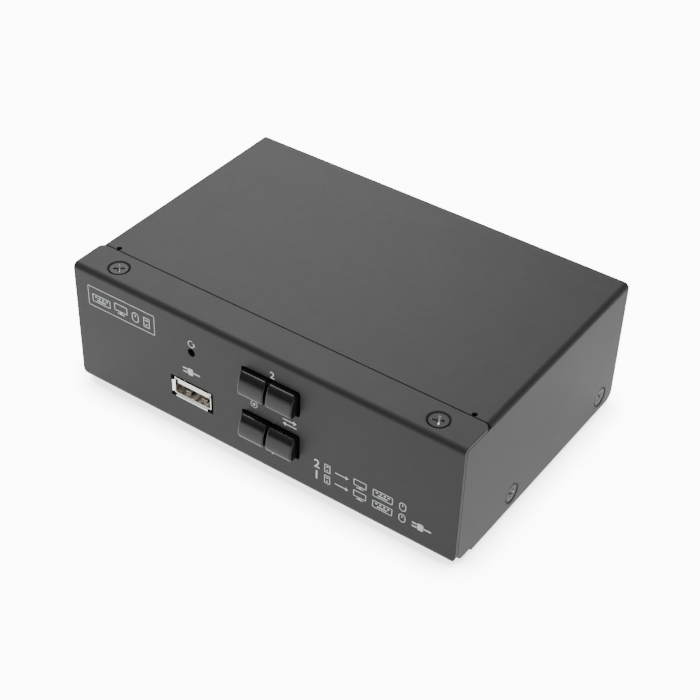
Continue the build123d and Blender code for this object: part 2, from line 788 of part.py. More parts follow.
def console_sockets():
    """The two stacked sockets for keyboard and mouse."""
    mouth = connector_face - 1.2 * usb_flare
    back = connector_face - console_depth + 3.0
    return [(rear_x["console"], main_top + z, mouth, back, 1) for z in console_rows]


def console_frame():
    """Metal frame around the two stacked sockets, with a bar between them."""
    x = rear_x["console"]
    low, high = connector_face - console_depth, connector_face - 0.4
    middle = main_top + console_height / 2
    frame = centred(x, middle, console_width, console_height, low, high)
    inner_height = console_height - 2 * shell_wall
    hollow_width = console_width - 2 * shell_wall
    frame -= centred(x, middle, hollow_width, inner_height, low + shell_wall, high + 1)
    frame += centred(x, middle, hollow_width, console_bar, low + 2, high)
    return frame


def video_shells():
    """Plated shells of the three video sockets."""
    shells = []
    for name in video_names:
        low, high = connector_face - video_depth, connector_face
        outer = along_rear(video_outline(), rear_x[name], low, high)
        inner = along_rear(video_outline(-shell_wall), rear_x[name], low - 1, high + 1)
        shell = outer - inner
        for side in (-1, 1):
            x = rear_x[name] + side * 3.2
            slot = centred(x, main_top + video_height, 2.2, 3 * shell_wall, high - 6.5, high - 2.0)
            leaf = centred(x, main_top + video_height - shell_wall, 1.6, shell_wall, high - 6.6, high - 2.6)
            shell = shell - slot + leaf
        shells.append(shell)
    return Compound(shells)


def video_cores():
    """Insulators of the three video sockets: a back block and a thin tongue."""
    cores = []
    for name in video_names:
        back = connector_face - video_depth
        block_end = back + 4.0
        core = along_rear(video_outline(-shell_wall - 0.05), rear_x[name], back, block_end)
        z = main_top + video_height / 2 + 0.35
        core += centred(rear_x[name], z, 10.4, 1.1, back, connector_face - 1.0)
        cores.append(core)
    return Compound(cores)


def host_shells():
    """Plated shells of the two square sockets that go to the computers."""
    shells = []
    for name in host_names:
        low, high = connector_face - host_depth, connector_face
        outer = along_rear(host_outline(host_width, host_height), rear_x[name], low, high)
        inner_face = host_outline(host_width, host_height, -shell_wall)
        shells.append(outer - along_rear(inner_face, rear_x[name], low + shell_wall, high + 1))
    return Compound(shells)


def host_cores():
    """Insulators of the square sockets: a hole with a tongue in its middle."""
    cores = []
    for name in host_names:
        low = connector_face - host_depth + shell_wall + 0.05
        high = connector_face - 0.3
        grow = -shell_wall - 0.05
        core = along_rear(host_outline(host_width, host_height, grow), rear_x[name], low, high)
        rise = (host_height - host_hole_height) / 2
        hole_face = host_outline(host_hole_width, host_hole_height)
        core -= Pos(0, 0, rise) * along_rear(hole_face, rear_x[name], high - host_hole_depth, high + 1)
        middle = main_top + host_height / 2
        tongue_end = high - 1.0
        tongue_start = high - host_hole_depth - 1
        core += centred(rear_x[name], middle, host_tongue_width, host_tongue_height, tongue_start, tongue_end)
        cores.append(core)
    return Compound(cores)


def audio_body():
    """Moulded body of the two stacked audio jacks."""
    x = rear_x["audio"]
    face = rear_panel_y - sheet - 0.3
    half = audio_width / 2
    body = block(x - half, x + half, face - audio_depth, face, main_top, main_top + audio_height)
    for z in audio_rows:
        body -= rod_y(x, main_top + z, audio_bushing_radius + 0.05, face - 2.0, face + 1)
        body -= rod_y(x, main_top + z, audio_bore_radius + 0.2, face - audio_depth + 1.5, face)
    return body


def audio_bushings():
    """Round metal noses of the audio jacks, which a plug goes into."""
    x = rear_x["audio"]
    face = rear_panel_y - sheet - 0.3
    noses = []
    for z in audio_rows:
        nose = rod_y(x, main_top + z, audio_bushing_radius, face - 2.0, connector_face)
        rim = nose.edges().filter_by(GeomType.CIRCLE).sort_by(Axis.Y)[-1]
        nose = chamfer(rim, 0.3)
        nose -= rod_y(x, main_top + z, audio_bore_radius, face - 3, connector_face + 1)
        noses.append(nose)
    return Compound(noses)


def dc_jack_body():
    """Moulded power inlet with a round mouth."""
    x = rear_x["dc"]
    low, high = connector_face - dc_depth, connector_face
    body = block(x - dc_width / 2, x + dc_width / 2, low, high, main_top, main_top + dc_height)
    body = chamfer(body.edges().filter_by(Axis.Y).group_by(Axis.Z)[-1], 1.2)
    z = main_top + dc_height / 2
    body -= rod_y(x, z, dc_bore_radius, high - 9.5, high + 1)
    body -= rod_y(x, z, dc_pin_radius, low + 2, high - 9)
    return body


def dc_jack_pin():
    """Centre pin of the power inlet."""
    x = rear_x["dc"]
    z = main_top + dc_height / 2
    pin = rod_y(x, z, dc_pin_radius - 0.02, connector_face - dc_depth + 2.5, connector_face - 1.0)
    tip = pin.edges().filter_by(GeomType.CIRCLE).sort_by(Axis.Y)[-1]
    return fillet(tip, 0.5)


def heat_sink():
    """Finned block on the switch chip."""
    low = main_top + chip_height + pad_thick
    half = sink_size / 2
    sink = block(chip_x - half, chip_x + half, chip_y - half, chip_y + half, low, low + sink_height)
    pitch = (sink_size - sink_fin) / (sink_fins - 1)
    for index in range(sink_fins - 1):
        left = chip_x - half + sink_fin + index * pitch
        right = left + pitch - sink_fin
        top = low + sink_height + 1
        sink -= block(left, right, chip_y - half - 1, chip_y + half + 1, low + sink_base, top)
    return sink


def square_part(place, size, height, low=main_top):
    """A square component on the main board."""
    x, y = place[0], main_front + place[1]
    return block(x - size / 2, x + size / 2, y - size / 2, y + size / 2, low, low + height)


def crystals():
    """Flat oval crystal cans."""
    cans = []
    for x, setback in crystal_places:
        outline = SlotOverall(crystal_length, crystal_width)
        cans.append(Pos(x, main_front + setback, main_top) * extrude(outline, crystal_height))
    return Compound(cans)


def capacitors():
    """Electrolytic capacitors."""
    cans = []
    for x, setback in capacitor_places:
        can = rod_z(x, main_front + setback, capacitor_radius, main_top, main_top + capacitor_height)
        rim = can.edges().filter_by(GeomType.CIRCLE).sort_by(Axis.Z)[-1]
        cans.append(fillet(rim, 0.4))
    return Compound(cans)


def build_parts():
    """Every node with its solids."""
    front_contacts = Compound(socket_contacts(*front_socket))
    console_shells = [socket_shell(*place) for place in console_sockets()]
    console_strips = [strip for place in console_sockets() for strip in socket_contacts(*place)]
    hub_chips = [square_part(place, hub_chip_size, hub_chip_height) for place in hub_chip_places]
    return {
        "base_tray": base_tray(),
        "top_cover": top_cover(),
        "flange_screws": flange_screws(),
        "side_screws": side_screws(),
        "rubber_feet": rubber_feet(),
        "select_button_1": select_button(low_row_z),
        "select_button_2": select_button(high_row_z),
        "button_switch_bodies": Compound([push_switch(button_x, z) for z in row_heights]),
        "button_plunger_1": plunger(button_x, low_row_z, plunger_reach, cap_travel),
        "button_plunger_2": plunger(button_x, high_row_z, plunger_reach, cap_travel),
        "reset_switch_body": push_switch(reset_x, reset_z),
        "reset_plunger": plunger(reset_x, reset_z, reset_reach, reset_travel),
        "status_leds": status_leds(),
        "front_board": front_board(),
        "board_brackets": board_brackets(),
        "bracket_screws": bracket_screws(),
        "link_header": link_header(),
        "link_socket": link_socket(),
        "main_board": main_board(),
        "board_standoffs": board_standoffs(),
        "board_screws": board_screws(),
        "front_usb_shell": socket_shell(*front_socket),
        "front_usb_tongue": socket_tongue(*front_socket),
        "front_usb_contacts": front_contacts,
        "video_shells": video_shells(),
        "video_cores": video_cores(),
        "host_usb_shells": host_shells(),
        "host_usb_cores": host_cores(),
        "console_usb_frame": console_frame(),
        "console_usb_shells": Compound(console_shells),
        "console_usb_tongues": Compound([socket_tongue(*place) for place in console_sockets()]),
        "console_usb_contacts": Compound(console_strips),
        "audio_body": audio_body(),
        "audio_bushings": audio_bushings(),
        "dc_jack_body": dc_jack_body(),
        "dc_jack_pin": dc_jack_pin(),
        "switch_chip": square_part(chip_place, chip_size, chip_height),
        "thermal_pad": square_part(chip_place, chip_size, pad_thick, main_top + chip_height),
        "heat_sink": heat_sink(),
        "hub_chips": Compound(hub_chips),
        "crystals": crystals(),
        "capacitors": capacitors(),
        "power_inductor": square_part(inductor_place, inductor_size, inductor_height),
    }


os.makedirs("parts", exist_ok=True)
for node, solid in build_parts().items():
    export_step(solid, f"parts/{node}.step")
    print(node, "written")
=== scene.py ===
import json
import math
import bmesh
import bpy
from mathutils import Matrix, Vector


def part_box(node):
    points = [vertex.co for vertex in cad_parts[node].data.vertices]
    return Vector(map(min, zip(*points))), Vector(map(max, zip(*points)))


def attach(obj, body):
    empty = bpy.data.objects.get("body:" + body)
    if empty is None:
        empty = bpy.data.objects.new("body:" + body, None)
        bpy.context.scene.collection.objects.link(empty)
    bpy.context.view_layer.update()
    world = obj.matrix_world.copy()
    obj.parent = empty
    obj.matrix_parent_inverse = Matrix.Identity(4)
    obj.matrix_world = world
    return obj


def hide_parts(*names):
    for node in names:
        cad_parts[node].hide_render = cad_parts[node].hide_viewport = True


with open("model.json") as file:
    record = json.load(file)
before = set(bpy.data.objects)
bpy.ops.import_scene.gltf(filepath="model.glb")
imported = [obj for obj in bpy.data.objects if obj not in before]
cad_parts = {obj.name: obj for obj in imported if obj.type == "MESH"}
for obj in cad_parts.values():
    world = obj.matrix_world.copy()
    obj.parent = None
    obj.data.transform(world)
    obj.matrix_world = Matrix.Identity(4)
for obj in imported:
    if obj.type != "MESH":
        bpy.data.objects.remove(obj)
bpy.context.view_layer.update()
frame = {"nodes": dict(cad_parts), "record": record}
mm = 0.001


def nodeBox(name):
    low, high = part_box(name)
    return Vector(low), Vector(high)


coverLow, coverHigh = nodeBox("top_cover")
trayLow, trayHigh = nodeBox("base_tray")
bodyMiddle = Vector((0.0, (trayLow.y + coverHigh.y) / 2, (coverLow.z + trayHigh.z) / 2))
frontFace = trayLow.y
underFace = trayLow.z
collection = bpy.context.scene.collection
print("frame loaded:", len(frame["nodes"]), "nodes")

# camera, softboxes and the pale floor
cameraLook = {
    "azimuth": 33.98,  # degrees round from the front
    "elevation": 38.84,
    "roll": 2.03,
    "distance": 456.2 * mm,
    "slideRight": 0.17 * mm,
    "slideUp": -5.33 * mm,
    "lens": 81.14,
    "sensor": 36,
    "clipStart": 10 * mm,
}

softboxes = {
    "backSoftbox": {"place": (-0.60, 0.70, 0.80), "size": (0.7, 0.7), "power": 10.0},
    "rightSoftbox": {"place": (0.95, 0.60, 0.18), "size": (0.5, 0.3), "power": 0.9},
    "stripSoftbox": {"place": (-0.40, 0.05, 0.85), "size": (0.7, 0.08), "power": 2.4},
}

studioLook = {
    "skyLow": 0.25,
    "skyHigh": 1.15,
    "skyFrom": 0.0,
    "skyTo": 0.8,
    "floorHalf": 3.0,
    "floorGrey": 0.8,
    "floorGlow": 2.35,
    "glowMiddle": (-0.07, -0.06, 0),
    "glowFrom": 0.06,
    "glowTo": 0.32,
    "glowFar": 0.25,
    "floorWhite": 11.5,
    "shadowReach": 11 * mm,
    "shadowFrom": 0.45,
    "shadowTo": 0.94,
    "shadowDepth": 0.24,
    "shadowSamples": 24,
}


def makeCamera(look):
    azimuth, elevation, roll = (math.radians(look[key]) for key in ("azimuth", "elevation", "roll"))
    level = math.cos(elevation)
    back = Vector((math.sin(azimuth) * level, -math.cos(azimuth) * level, math.sin(elevation)))
    right = Vector((math.cos(azimuth), math.sin(azimuth), 0))
    up = back.cross(right)
    rolledRight = right * math.cos(roll) + up * math.sin(roll)
    rolledUp = up * math.cos(roll) - right * math.sin(roll)
    place = bodyMiddle + rolledRight * look["slideRight"] + rolledUp * look["slideUp"]
    turn = Matrix((rolledRight, rolledUp, back)).transposed().to_4x4()
    data = bpy.data.cameras.new("productCamera")
    data.lens = look["lens"]
    data.sensor_width = look["sensor"]
    data.clip_start = look["clipStart"]
    camera = bpy.data.objects.new("productCamera", data)
    camera.matrix_world = Matrix.Translation(place + back * look["distance"]) @ turn
    collection.objects.link(camera)
    bpy.context.scene.camera = camera


def makeSoftbox(name, look):
    data = bpy.data.lights.new(name, "AREA")
    data.shape = "RECTANGLE"
    data.size, data.size_y = look["size"]
    data.energy = look["power"]
    lamp = bpy.data.objects.new(name, data)
    aim = Vector(look["place"]) - bodyMiddle
    turn = aim.to_track_quat("Z", "Y").to_matrix().to_4x4()
    lamp.matrix_world = Matrix.Translation(look["place"]) @ turn
    collection.objects.link(lamp)


def addNode(tree, kind, values=None, **settings):
    node = tree.nodes.new(kind)
    for key, value in settings.items():
        setattr(node, key, value)
    for key, value in (values or {}).items():
        socket = node.inputs[key]
        if isinstance(value, bpy.types.NodeSocket):
            tree.links.new(value, socket)
        else:
            socket.default_value = value
    return node


def calc(tree, operation, *values, clamp=False):
    numbered = dict(enumerate(values))
    node = addNode(tree, "ShaderNodeMath", numbered, operation=operation, use_clamp=clamp)
    return node.outputs[0]


def makeFloor(look):
    half = look["floorHalf"]
    mesh = bpy.data.meshes.new("floor")
    corners = [(-half, -half, 0), (half, -half, 0), (half, half, 0), (-half, half, 0)]
    mesh.from_pydata(corners, [], [(0, 1, 2, 3)])
    material = bpy.data.materials.new("paleFloor")
    material.use_nodes = True
    tree = material.node_tree
    tree.nodes.clear()
    # for camera rays the floor is an even white glow, dimmed by ambient occlusion near the case: a
    # painted contact shadow; other rays meet a grey floor with a glow round the case that lights it
    # from below
    reach = {"Distance": look["shadowReach"]}
    nearness = addNode(tree, "ShaderNodeAmbientOcclusion", reach, samples=look["shadowSamples"])
    fadeValues = {
        "Value": nearness.outputs["AO"],
        "From Min": look["shadowFrom"],
        "From Max": look["shadowTo"],
        "To Min": look["shadowDepth"],
        "To Max": 1.0,
    }
    fade = addNode(tree, "ShaderNodeMapRange", fadeValues)
    strength = calc(tree, "MULTIPLY", fade.outputs[0], look["floorWhite"])
    white = addNode(tree, "ShaderNodeEmission", {"Strength": strength})
    grey = look["floorGrey"]
    plain = addNode(tree, "ShaderNodeBsdfDiffuse", {"Color": (grey, grey, grey, 1)})
    place = addNode(tree, "ShaderNodeTexCoord").outputs["Object"]
    awayValues = {0: place, 1: look["glowMiddle"]}
    away = addNode(tree, "ShaderNodeVectorMath", awayValues, operation="DISTANCE").outputs["Value"]
    glowValues = {
        "Value": away,
        "From Min": look["glowFrom"],
        "From Max": look["glowTo"],
        "To Min": look["floorGlow"],
        "To Max": look["floorGlow"] * look["glowFar"],
    }
    glow = addNode(tree, "ShaderNodeMapRange", glowValues, interpolation_type="SMOOTHSTEP")
    bounce = addNode(tree, "ShaderNodeEmission", {"Strength": glow.outputs[0]})
    lit = addNode(tree, "ShaderNodeAddShader", {0: plain.outputs[0], 1: bounce.outputs[0]})
    path = addNode(tree, "ShaderNodeLightPath")
    mixValues = {0: path.outputs["Is Camera Ray"], 1: lit.outputs[0], 2: white.outputs[0]}
    mix = addNode(tree, "ShaderNodeMixShader", mixValues)
    addNode(tree, "ShaderNodeOutputMaterial", {"Surface": mix.outputs[0]})
    mesh.materials.append(material)
    floor = bpy.data.objects.new("floor", mesh)
    collection.objects.link(floor)


makeCamera(cameraLook)
for name, look in softboxes.items():
    makeSoftbox(name, look)
makeFloor(studioLook)
world = bpy.data.worlds.new("studio")
world.use_nodes = True
sky = world.node_tree
direction = addNode(sky, "ShaderNodeTexCoord").outputs["Generated"]
height = addNode(sky, "ShaderNodeSeparateXYZ", {0: direction}).outputs["Z"]
skyValues = {
    "Value": height,
    "From Min": studioLook["skyFrom"],
    "From Max": studioLook["skyTo"],
    "To Min": studioLook["skyLow"],
    "To Max": studioLook["skyHigh"],
}
skyLevel = addNode(sky, "ShaderNodeMapRange", skyValues, interpolation_type="SMOOTHSTEP").outputs[0]
background = sky.nodes["Background"]
background.inputs["Color"].default_value = (1, 1, 1, 1)
# seen straight on, the studio's back is as white as its floor
seen = addNode(sky, "ShaderNodeLightPath").outputs["Is Camera Ray"]
skyStrength = calc(sky, "MULTIPLY_ADD", seen, studioLook["floorWhite"], skyLevel)
sky.links.new(skyStrength, background.inputs["Strength"])
bpy.context.scene.world = world
print("camera, lights and floor made")


# effects that several finishes share
effectLook = {
    "fineDetail": 3.0,
    "broadDetail": 4.0,
    "broadShare": 1.6,  # of the broad mottle beside the fine grain
    "noiseMiddle": 0.5,
    "bevelSamples": 6,
    "speckDetail": 6.0,
    "dustOnWalls": 0.5,  # of what lies on a level face
}


def makeShaderGroup(name, inputs, outputs):
    group = bpy.data.node_groups.new(name, "ShaderNodeTree")
    for label, value in inputs.items():
        socket = group.interface.new_socket(label, in_out="INPUT", socket_type="NodeSocketFloat")
        socket.default_value = value
    for label, kind in outputs.items():
        group.interface.new_socket(label, in_out="OUTPUT", socket_type=kind)
    return group, addNode(group, "NodeGroupInput").outputs


def makeGrainGroup():
    inputs = {"Grain Scale": 2500.0, "Mottle Scale": 60.0, "Mottle": 0.05, "Stretch": 1.0}
    outputs = {label: "NodeSocketFloat" for label in ("Shade", "Height", "Rough Shift")}
    group, given = makeShaderGroup("surfaceGrain", inputs, outputs)
    place = addNode(group, "ShaderNodeTexCoord").outputs["Object"]
    drawn = addNode(group, "ShaderNodeCombineXYZ", {0: given["Stretch"], 1: 1.0, 2: 1.0}).outputs[0]
    scaled = addNode(group, "ShaderNodeVectorMath", {0: place, 1: drawn}, operation="MULTIPLY")
    fineValues = {"Vector": scaled.outputs[0], "Scale": given["Grain Scale"]}
    fineValues["Detail"] = effectLook["fineDetail"]
    broadValues = {"Vector": place, "Scale": given["Mottle Scale"]}
    broadValues["Detail"] = effectLook["broadDetail"]
    fine = addNode(group, "ShaderNodeTexNoise", fineValues)
    broad = addNode(group, "ShaderNodeTexNoise", broadValues)
    fineLevel = calc(group, "SUBTRACT", fine.outputs[0], effectLook["noiseMiddle"])
    broadLevel = calc(group, "SUBTRACT", broad.outputs[0], effectLook["noiseMiddle"])
    broadPart = calc(group, "MULTIPLY", broadLevel, effectLook["broadShare"])
    both = calc(group, "ADD", fineLevel, broadPart)
    shade = calc(group, "MULTIPLY_ADD", both, given["Mottle"], 1.0)
    values = {"Shade": shade, "Height": fine.outputs[0], "Rough Shift": both}
    addNode(group, "NodeGroupOutput", values)
    return group


def makeEdgeGroup():
    outputs = {"Edge": "NodeSocketFloat", "Normal": "NodeSocketVector"}
    group, given = makeShaderGroup("softEdges", {"Radius": 0.2 * mm, "Gain": 2.0}, outputs)
    samples = effectLook["bevelSamples"]
    bevel = addNode(group, "ShaderNodeBevel", {"Radius": given["Radius"]}, samples=samples)
    rounded = bevel.outputs[0]
    flat = addNode(group, "ShaderNodeNewGeometry").outputs["Normal"]
    match = addNode(group, "ShaderNodeVectorMath", {0: rounded, 1: flat}, operation="DOT_PRODUCT")
    away = calc(group, "SUBTRACT", 1.0, match.outputs["Value"])
    edge = calc(group, "MULTIPLY", away, given["Gain"], clamp=True)
    addNode(group, "NodeGroupOutput", {"Edge": edge, "Normal": rounded})
    return group


def makeDustGroup():
    outputs = {"Dust": "NodeSocketFloat"}
    group, given = makeShaderGroup("fineDust", {"Scale": 300.0, "Amount": 0.03}, outputs)
    place = addNode(group, "ShaderNodeTexCoord").outputs["Object"]
    speckValues = {"Vector": place, "Scale": given["Scale"], "Detail": effectLook["speckDetail"]}
    specks = addNode(group, "ShaderNodeTexNoise", speckValues)
    facing = addNode(group, "ShaderNodeNewGeometry").outputs["Normal"]
    upward = addNode(group, "ShaderNodeSeparateXYZ", {0: facing}).outputs["Z"]
    walls = effectLook["dustOnWalls"]
    level = calc(group, "MULTIPLY_ADD", upward, 1.0 - walls, walls, clamp=True)
    spread = calc(group, "MULTIPLY", specks.outputs[0], level)
    addNode(group, "NodeGroupOutput", {"Dust": calc(group, "MULTIPLY", spread, given["Amount"])})
    return group


grainGroup = makeGrainGroup()
edgeGroup = makeEdgeGroup()
dustGroup = makeDustGroup()

# an edgeColor blended in along edges is a painted highlight, except on the board, where it is the raw
# board edge's own colour
finishes = {
    "case_paint": {
        "color": (0.0150, 0.0150, 0.0155),
        "roughness": 0.46,
        "specular": 0.15,
        "grainScale": 3200,
        "grainDepth": 0.012 * mm,
        "mottle": 0.010,
        "roughSpread": 0.02,
        "edgeRadius": 0.25 * mm,
        "edgeColor": (0.06, 0.06, 0.06),
        "edgeTintAndHighlight": 0.5,
        "dust": 0.012,
    },
    "screw_black": {
        "color": (0.010, 0.010, 0.010),
        "roughness": 0.34,
        "specular": 0.12,
        "grainScale": 4000,
        "grainDepth": 0.01 * mm,
        "mottle": 0.25,
        "edgeRadius": 0.08 * mm,
        "edgeColor": (0.12, 0.12, 0.12),
        "edgeTintAndHighlight": 0.4,
    },
    # scuffed bare metal in the screws' cross recesses, lighter than the head to give painted glints,
    # with painted glint lines along its edges
    "recess_wear_and_glint": {
        "color": (0.22, 0.22, 0.225),
        "metallic": 1.0,
        "roughness": 0.14,
        "grainScale": 1500,
        "grainDepth": 0.06 * mm,
        "mottle": 0.6,
        "edgeRadius": 0.08 * mm,
        "edgeColor": (0.75, 0.75, 0.76),
        "edgeTintAndHighlight": 1.0,
    },
    "foot_rubber": {
        "color": (0.018, 0.018, 0.018),
        "roughness": 0.75,
        "grainScale": 1800,
        "grainDepth": 0.03 * mm,
        "mottle": 0.2,
        "dust": 0.06,
    },
    "button_gloss": {
        "color": (0.0030, 0.0030, 0.0030),
        "roughness": 0.15,
        "specular": 0.25,
        "grainScale": 900,
        "grainDepth": 0.0006 * mm,
        "mottle": 0.1,
        "edgeRadius": 0.12 * mm,
    },
    "switch_plastic": {"color": (0.02, 0.02, 0.02), "roughness": 0.45, "mottle": 0.1},
    "plunger_plastic": {"color": (0.55, 0.54, 0.50), "roughness": 0.4, "mottle": 0.06},
    "lamp_lens": {"color": (0.75, 0.78, 0.76), "roughness": 0.12, "mottle": 0.03, "specular": 0.6},
    "board": {
        "color": (0.012, 0.055, 0.022),
        "roughness": 0.32,
        "mottle": 0.35,
        "grainScale": 1400,
        "grainDepth": 0.02 * mm,
        "edgeColor": (0.25, 0.22, 0.10),
        "edgeTintAndHighlight": 0.8,
    },
    "bracket_steel": {
        "color": (0.55, 0.56, 0.57),
        "metallic": 1.0,
        "roughness": 0.33,
        "mottle": 0.15,
        "stretch": 0.1,
    },
    "screw_zinc": {"color": (0.62, 0.62, 0.60), "metallic": 1.0, "roughness": 0.28, "mottle": 0.2},
    "connector_black": {
        "color": (0.013, 0.013, 0.013),
        "roughness": 0.42,
        "mottle": 0.15,
        "grainScale": 2200,
        "grainDepth": 0.01 * mm,
        "edgeColor": (0.04, 0.04, 0.04),
        "edgeTintAndHighlight": 0.7,
    },
    "shell_nickel": {
        "color": (0.70, 0.67, 0.62),
        "metallic": 1.0,
        "roughness": 0.22,
        "mottle": 0.12,
        "grainScale": 2600,
        "grainDepth": 0.006 * mm,
        "stretch": 0.15,
        "edgeRadius": 0.12 * mm,
        "edgeColor": (0.92, 0.90, 0.86),
        "edgeTintAndHighlight": 0.8,
    },
    "tongue_white": {
        "color": (0.80, 0.79, 0.76),
        "roughness": 0.38,
        "mottle": 0.03,
        "specular": 0.5,
    },
    "contact_gold": {
        # darker than bare gold: painted shade of the socket's dark inside
        "color": (0.38, 0.31, 0.20),
        "metallic": 1.0,
        "roughness": 0.34,
        "mottle": 0.15,
    },
    "standoff_brass": {
        "color": (0.72, 0.53, 0.24),
        "metallic": 1.0,
        "roughness": 0.3,
        "mottle": 0.2,
    },
    "chip_black": {
        "color": (0.018, 0.018, 0.019),
        "roughness": 0.5,
        "mottle": 0.2,
        "grainScale": 3000,
    },
    "pad_grey": {"color": (0.30, 0.31, 0.32), "roughness": 0.7, "mottle": 0.15},
    "sink_black": {
        "color": (0.015, 0.015, 0.016),
        "metallic": 0.3,
        "roughness": 0.4,
        "mottle": 0.15,
    },
    "can_metal": {"color": (0.72, 0.72, 0.72), "metallic": 1.0, "roughness": 0.26, "mottle": 0.1},
    "ferrite": {"color": (0.05, 0.05, 0.052), "roughness": 0.6, "mottle": 0.3, "grainScale": 1500},
    "panel_print": {"color": (0.36, 0.375, 0.38), "roughness": 0.55, "mottle": 0.08},
}
dustColor = (0.5, 0.49, 0.47, 1)
plainFinish = {
    "metallic": 0.0,
    "specular": 0.5,
    "grainScale": 2500,
    "grainDepth": 0.008 * mm,
    "mottleScale": 70,
    "stretch": 1.0,
    "edgeRadius": 0.15 * mm,
    "edgeColor": None,
    "edgeTintAndHighlight": 0.0,
    "roughSpread": 0.12,
    "dust": 0.015,
}


def tinted(tree, color, factor):
    values = {0: color[:3], "Scale": factor}
    scale = addNode(tree, "ShaderNodeVectorMath", values, operation="SCALE")
    return scale.outputs[0]


def blended(tree, share, first, second):
    mix = addNode(tree, "ShaderNodeMix", data_type="RGBA")
    sockets = {socket.identifier: socket for socket in mix.inputs}
    for key, value in (("Factor_Float", share), ("A_Color", first), ("B_Color", second)):
        if isinstance(value, bpy.types.NodeSocket):
            tree.links.new(value, sockets[key])
        else:
            sockets[key].default_value = value
    return [socket for socket in mix.outputs if socket.identifier == "Result_Color"][0]


def makeFinish(name, look):
    look = {**plainFinish, **look}
    material = bpy.data.materials.new(name)
    material.use_nodes = True
    tree = material.node_tree
    shader = tree.nodes["Principled BSDF"]
    grainValues = {
        "Grain Scale": look["grainScale"],
        "Mottle Scale": look["mottleScale"],
        "Mottle": look["mottle"],
        "Stretch": look["stretch"],
    }
    grain = addNode(tree, "ShaderNodeGroup", node_tree=grainGroup)
    edges = addNode(tree, "ShaderNodeGroup", node_tree=edgeGroup)
    dust = addNode(tree, "ShaderNodeGroup", node_tree=dustGroup)
    for key, value in grainValues.items():
        grain.inputs[key].default_value = value
    edges.inputs["Radius"].default_value = look["edgeRadius"]
    dust.inputs["Amount"].default_value = look["dust"]
    color = tinted(tree, look["color"], grain.outputs["Shade"])
    # blend the edge colour in along edges: a painted highlight on most finishes, the raw board edge's
    # own colour on the board
    if look["edgeColor"]:
        edgeTintAndHighlightMix = calc(tree, "MULTIPLY", edges.outputs["Edge"], look["edgeTintAndHighlight"])
        color = blended(tree, edgeTintAndHighlightMix, color, look["edgeColor"] + (1,))
    color = blended(tree, dust.outputs["Dust"], color, dustColor)
    shift = grain.outputs["Rough Shift"]
    rough = calc(tree, "MULTIPLY_ADD", shift, look["roughSpread"], look["roughness"])
    bumpValues = {
        "Height": grain.outputs["Height"],
        "Distance": look["grainDepth"],
        "Normal": edges.outputs["Normal"],
    }
    bump = addNode(tree, "ShaderNodeBump", bumpValues)
    tree.links.new(color, shader.inputs["Base Color"])
    tree.links.new(rough, shader.inputs["Roughness"])
    tree.links.new(bump.outputs[0], shader.inputs["Normal"])
    shader.inputs["Metallic"].default_value = look["metallic"]
    shader.inputs["Specular IOR Level"].default_value = look["specular"]
    return material


materials = {name: makeFinish(name, look) for name, look in finishes.items()}
for entry in frame["record"]["subparts"]:
    mesh = frame["nodes"][entry["node"]].data
    for index in range(len(mesh.materials)):
        mesh.materials[index] = materials[entry["material_slot"]]
print("finishes made:", len(materials))


# shared ways of making and placing a piece
def linkMesh(name, mesh, body, slot, *nodes):
    piece = bpy.data.objects.new(name, mesh)
    collection.objects.link(piece)
    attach(piece, body)
    if nodes:
        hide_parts(*nodes)
    return piece


def plainMesh(name, holder):
    # what the modifiers or the curve give, as an ordinary mesh
    graph = bpy.context.evaluated_depsgraph_get()
    mesh = bpy.data.meshes.new_from_object(holder.evaluated_get(graph), depsgraph=graph)
    mesh.name = name
    bpy.data.objects.remove(holder)
    return mesh


def joinMeshes(name, meshes, material):
    work = bmesh.new()
    for mesh in meshes:
        work.from_mesh(mesh)
    joined = bpy.data.meshes.new(name)
    work.to_mesh(joined)
    work.free()
    joined.materials.clear()
    joined.materials.append(material)
    for polygon in joined.polygons:
        polygon.material_index = 0
    return joined


def softenEdges(holder, width, steps, angle):
    bevel = holder.modifiers.new("softEdges", "BEVEL")
    bevel.width = width
    bevel.segments = steps
    bevel.limit_method = "ANGLE"
    bevel.angle_limit = math.radians(angle)
    bevel.harden_normals = True
    for polygon in holder.data.polygons:
        polygon.use_smooth = True


def newHolder(name, mesh):
    holder = bpy.data.objects.new(name, mesh)
    collection.objects.link(holder)
    return holder


# select buttons: two glossy lobes on a retaining rim, with a stem behind
buttonLook = {
    "width": 18.2 * mm,
    "height": 7.4 * mm,
    "groove": 0.7 * mm,
    "grooveFloor": 2.5 * mm,  # behind the lobes' faces
    "crownRadius": 9.5 * mm,
    "crownDrop": 2.0 * mm,
    "lowRound": 1.3 * mm,
    "topRound": 0.5 * mm,
    "roundSteps": 8,
    "faceSteps": 24,
    "endRound": 0.6 * mm,
    "endSteps": 5,
    "sharpAngle": 40,  # degrees between faces from which an edge is rounded
    "blockRound": 0.1 * mm,
    "rimFront": 4.6 * mm,  # behind the lobes' faces
    "rimThick": 1.0 * mm,
    "stemWidth": 3.4 * mm,
}


def bendCorner(start, corner, end, steps):
    points = []
    for step in range(steps + 1):
        t = step / steps
        points.append(start * (1 - t) ** 2 + corner * (2 * t * (1 - t)) + end * t**2)
    return points


